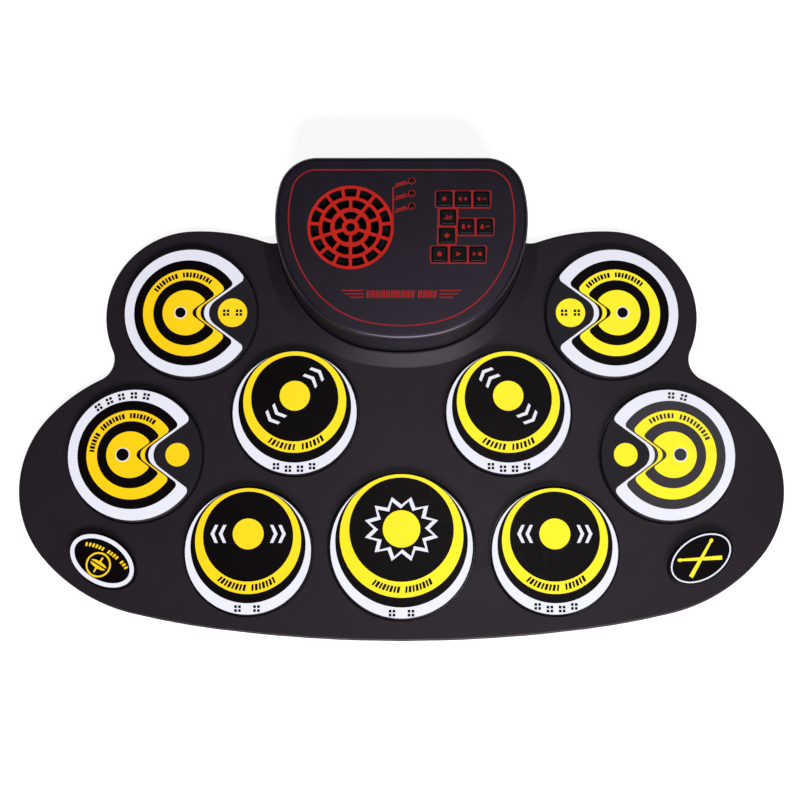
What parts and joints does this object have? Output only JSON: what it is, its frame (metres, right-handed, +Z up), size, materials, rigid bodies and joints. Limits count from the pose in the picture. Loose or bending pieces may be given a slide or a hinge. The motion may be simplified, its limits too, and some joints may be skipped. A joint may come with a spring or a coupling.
{
  "type": "electronic drum pad",
  "caption": "Flat roll-up electronic drum kit: a lobed silicone mat with round strike pads and an oval pad, and a D-shaped control box with a speaker grille and keys at the rear.",
  "frame": {"origin": "on the table under the centre of the whole object's bounding box", "axes": "+Z up from the table, +Y away from the player towards the control box, +X to the player's right"},
  "size_m": [0.46, 0.2863, 0.0432],
  "materials": {
    "silicone_mat": "matte",
    "pad_silicone": "matte",
    "badge_silicone": "matte",
    "foam": "matte",
    "flex_film": "gloss",
    "sensor_disc": "satin",
    "case_plastic": "satin",
    "key_plastic": "gloss",
    "keypad_rubber": "matte",
    "circuit_board": "satin",
    "steel_hardware": "satin",
    "led_lens": "gloss",
    "speaker_steel": "satin",
    "painted_steel": "matte",
    "magnet_ferrite": "matte",
    "speaker_paper": "matte",
    "surround_rubber": "matte",
    "black_component": "satin",
    "battery_wrap": "satin",
    "white_nylon": "satin",
    "red_wire": "satin"
  },
  "bodies": {
    "root": {"mat_top_sheet": "silicone_mat", "mat_base_sheet": "silicone_mat", "sensor_membrane": "flex_film", "strike_sensors": "sensor_disc", "pad_cushions": "foam", "oval_badge": "badge_silicone", "case_top": "case_plastic", "case_base": "case_plastic", "silicone_keypad": "keypad_rubber", "key_board": "circuit_board", "key_board_screws": "steel_hardware", "status_leds": "led_lens", "speaker_frame": "painted_steel", "speaker_magnet": "magnet_ferrite", "speaker_surround": "surround_rubber", "speaker_screws": "steel_hardware", "main_board": "circuit_board", "board_chips": "black_component", "main_board_screws": "steel_hardware", "headphone_jack": "black_component", "pedal_jacks": "black_component", "usb_socket": "speaker_steel", "power_switch_body": "speaker_steel", "battery_pack": "battery_wrap", "battery_strap": "white_nylon", "ribbon_connector": "white_nylon", "ribbon_tail": "flex_film", "mat_clamp_plate": "steel_hardware", "mat_clamp_screws": "steel_hardware", "case_screws": "steel_hardware", "rubber_feet": "surround_rubber", "speaker_leads": "red_wire", "battery_leads": "red_wire"},
    "crash_pad_left": {"crash_pad_left": "pad_silicone"},
    "crash_pad_right": {"crash_pad_right": "pad_silicone"},
    "hihat_pad": {"hihat_pad": "pad_silicone"},
    "ride_pad": {"ride_pad": "pad_silicone"},
    "high_tom_pad": {"high_tom_pad": "pad_silicone"},
    "low_tom_pad": {"low_tom_pad": "pad_silicone"},
    "snare_pad": {"snare_pad": "pad_silicone"},
    "bass_pad": {"bass_pad": "pad_silicone"},
    "floor_tom_pad": {"floor_tom_pad": "pad_silicone"},
    "closed_hihat_pad": {"closed_hihat_pad": "pad_silicone"},
    "demo_key": {"demo_key": "key_plastic"},
    "volume_up_key": {"volume_up_key": "key_plastic"},
    "volume_down_key": {"volume_down_key": "key_plastic"},
    "rhythm_key": {"rhythm_key": "key_plastic"},
    "style_key": {"style_key": "key_plastic"},
    "tempo_up_key": {"tempo_up_key": "key_plastic"},
    "tempo_down_key": {"tempo_down_key": "key_plastic"},
    "record_key": {"record_key": "key_plastic"},
    "play_key": {"play_key": "key_plastic"},
    "start_stop_key": {"start_stop_key": "key_plastic"},
    "power_slider": {"power_switch_slider": "black_component"},
    "cone": {"speaker_cone": "speaker_paper"}
  },
  "joints": [
    {"name": "crash_pad_left_press", "type": "slide", "parent": "root", "child": "crash_pad_left", "axis": [0, 0, -1], "range_m": [0, 0.0012], "stiffness_N_per_m": 4000, "deforming": ["pad_cushions"]},
    {"name": "crash_pad_right_press", "type": "slide", "parent": "root", "child": "crash_pad_right", "axis": [0, 0, -1], "range_m": [0, 0.0012], "stiffness_N_per_m": 4000, "deforming": ["pad_cushions"]},
    {"name": "hihat_pad_press", "type": "slide", "parent": "root", "child": "hihat_pad", "axis": [0, 0, -1], "range_m": [0, 0.0012], "stiffness_N_per_m": 4000, "deforming": ["pad_cushions"]},
    {"name": "ride_pad_press", "type": "slide", "parent": "root", "child": "ride_pad", "axis": [0, 0, -1], "range_m": [0, 0.0012], "stiffness_N_per_m": 4000, "deforming": ["pad_cushions"]},
    {"name": "high_tom_pad_press", "type": "slide", "parent": "root", "child": "high_tom_pad", "axis": [0, 0, -1], "range_m": [0, 0.0012], "stiffness_N_per_m": 4000, "deforming": ["pad_cushions"]},
    {"name": "low_tom_pad_press", "type": "slide", "parent": "root", "child": "low_tom_pad", "axis": [0, 0, -1], "range_m": [0, 0.0012], "stiffness_N_per_m": 4000, "deforming": ["pad_cushions"]},
    {"name": "snare_pad_press", "type": "slide", "parent": "root", "child": "snare_pad", "axis": [0, 0, -1], "range_m": [0, 0.0012], "stiffness_N_per_m": 4000, "deforming": ["pad_cushions"]},
    {"name": "bass_pad_press", "type": "slide", "parent": "root", "child": "bass_pad", "axis": [0, 0, -1], "range_m": [0, 0.0012], "stiffness_N_per_m": 4000, "deforming": ["pad_cushions"]},
    {"name": "floor_tom_pad_press", "type": "slide", "parent": "root", "child": "floor_tom_pad", "axis": [0, 0, -1], "range_m": [0, 0.0012], "stiffness_N_per_m": 4000, "deforming": ["pad_cushions"]},
    {"name": "closed_hihat_pad_press", "type": "slide", "parent": "root", "child": "closed_hihat_pad", "axis": [0, 0, -1], "range_m": [0, 0.0012], "stiffness_N_per_m": 4000, "deforming": ["pad_cushions"]},
    {"name": "demo_key_press", "type": "slide", "parent": "root", "child": "demo_key", "axis": [0, 0, -1], "range_m": [0, 0.0008], "stiffness_N_per_m": 1500, "deforming": ["silicone_keypad"]},
    {"name": "volume_up_key_press", "type": "slide", "parent": "root", "child": "volume_up_key", "axis": [0, 0, -1], "range_m": [0, 0.0008], "stiffness_N_per_m": 1500, "deforming": ["silicone_keypad"]},
    {"name": "volume_down_key_press", "type": "slide", "parent": "root", "child": "volume_down_key", "axis": [0, 0, -1], "range_m": [0, 0.0008], "stiffness_N_per_m": 1500, "deforming": ["silicone_keypad"]},
    {"name": "rhythm_key_press", "type": "slide", "parent": "root", "child": "rhythm_key", "axis": [0, 0, -1], "range_m": [0, 0.0008], "stiffness_N_per_m": 1500, "deforming": ["silicone_keypad"]},
    {"name": "style_key_press", "type": "slide", "parent": "root", "child": "style_key", "axis": [0, 0, -1], "range_m": [0, 0.0008], "stiffness_N_per_m": 1500, "deforming": ["silicone_keypad"]},
    {"name": "tempo_up_key_press", "type": "slide", "parent": "root", "child": "tempo_up_key", "axis": [0, 0, -1], "range_m": [0, 0.0008], "stiffness_N_per_m": 1500, "deforming": ["silicone_keypad"]},
    {"name": "tempo_down_key_press", "type": "slide", "parent": "root", "child": "tempo_down_key", "axis": [0, 0, -1], "range_m": [0, 0.0008], "stiffness_N_per_m": 1500, "deforming": ["silicone_keypad"]},
    {"name": "record_key_press", "type": "slide", "parent": "root", "child": "record_key", "axis": [0, 0, -1], "range_m": [0, 0.0008], "stiffness_N_per_m": 1500, "deforming": ["silicone_keypad"]},
    {"name": "play_key_press", "type": "slide", "parent": "root", "child": "play_key", "axis": [0, 0, -1], "range_m": [0, 0.0008], "stiffness_N_per_m": 1500, "deforming": ["silicone_keypad"]},
    {"name": "start_stop_key_press", "type": "slide", "parent": "root", "child": "start_stop_key", "axis": [0, 0, -1], "range_m": [0, 0.0008], "stiffness_N_per_m": 1500, "deforming": ["silicone_keypad"]},
    {"name": "power_switch_slide", "type": "slide", "parent": "root", "child": "power_slider", "axis": [1, 0, 0], "range_m": [0, 0.003]},
    {"name": "speaker_cone_travel", "type": "slide", "parent": "root", "child": "cone", "axis": [0, 0, 1], "range_m": [-0.0005, 0.0005], "stiffness_N_per_m": 2000, "deforming": ["speaker_surround"]}
  ]
}
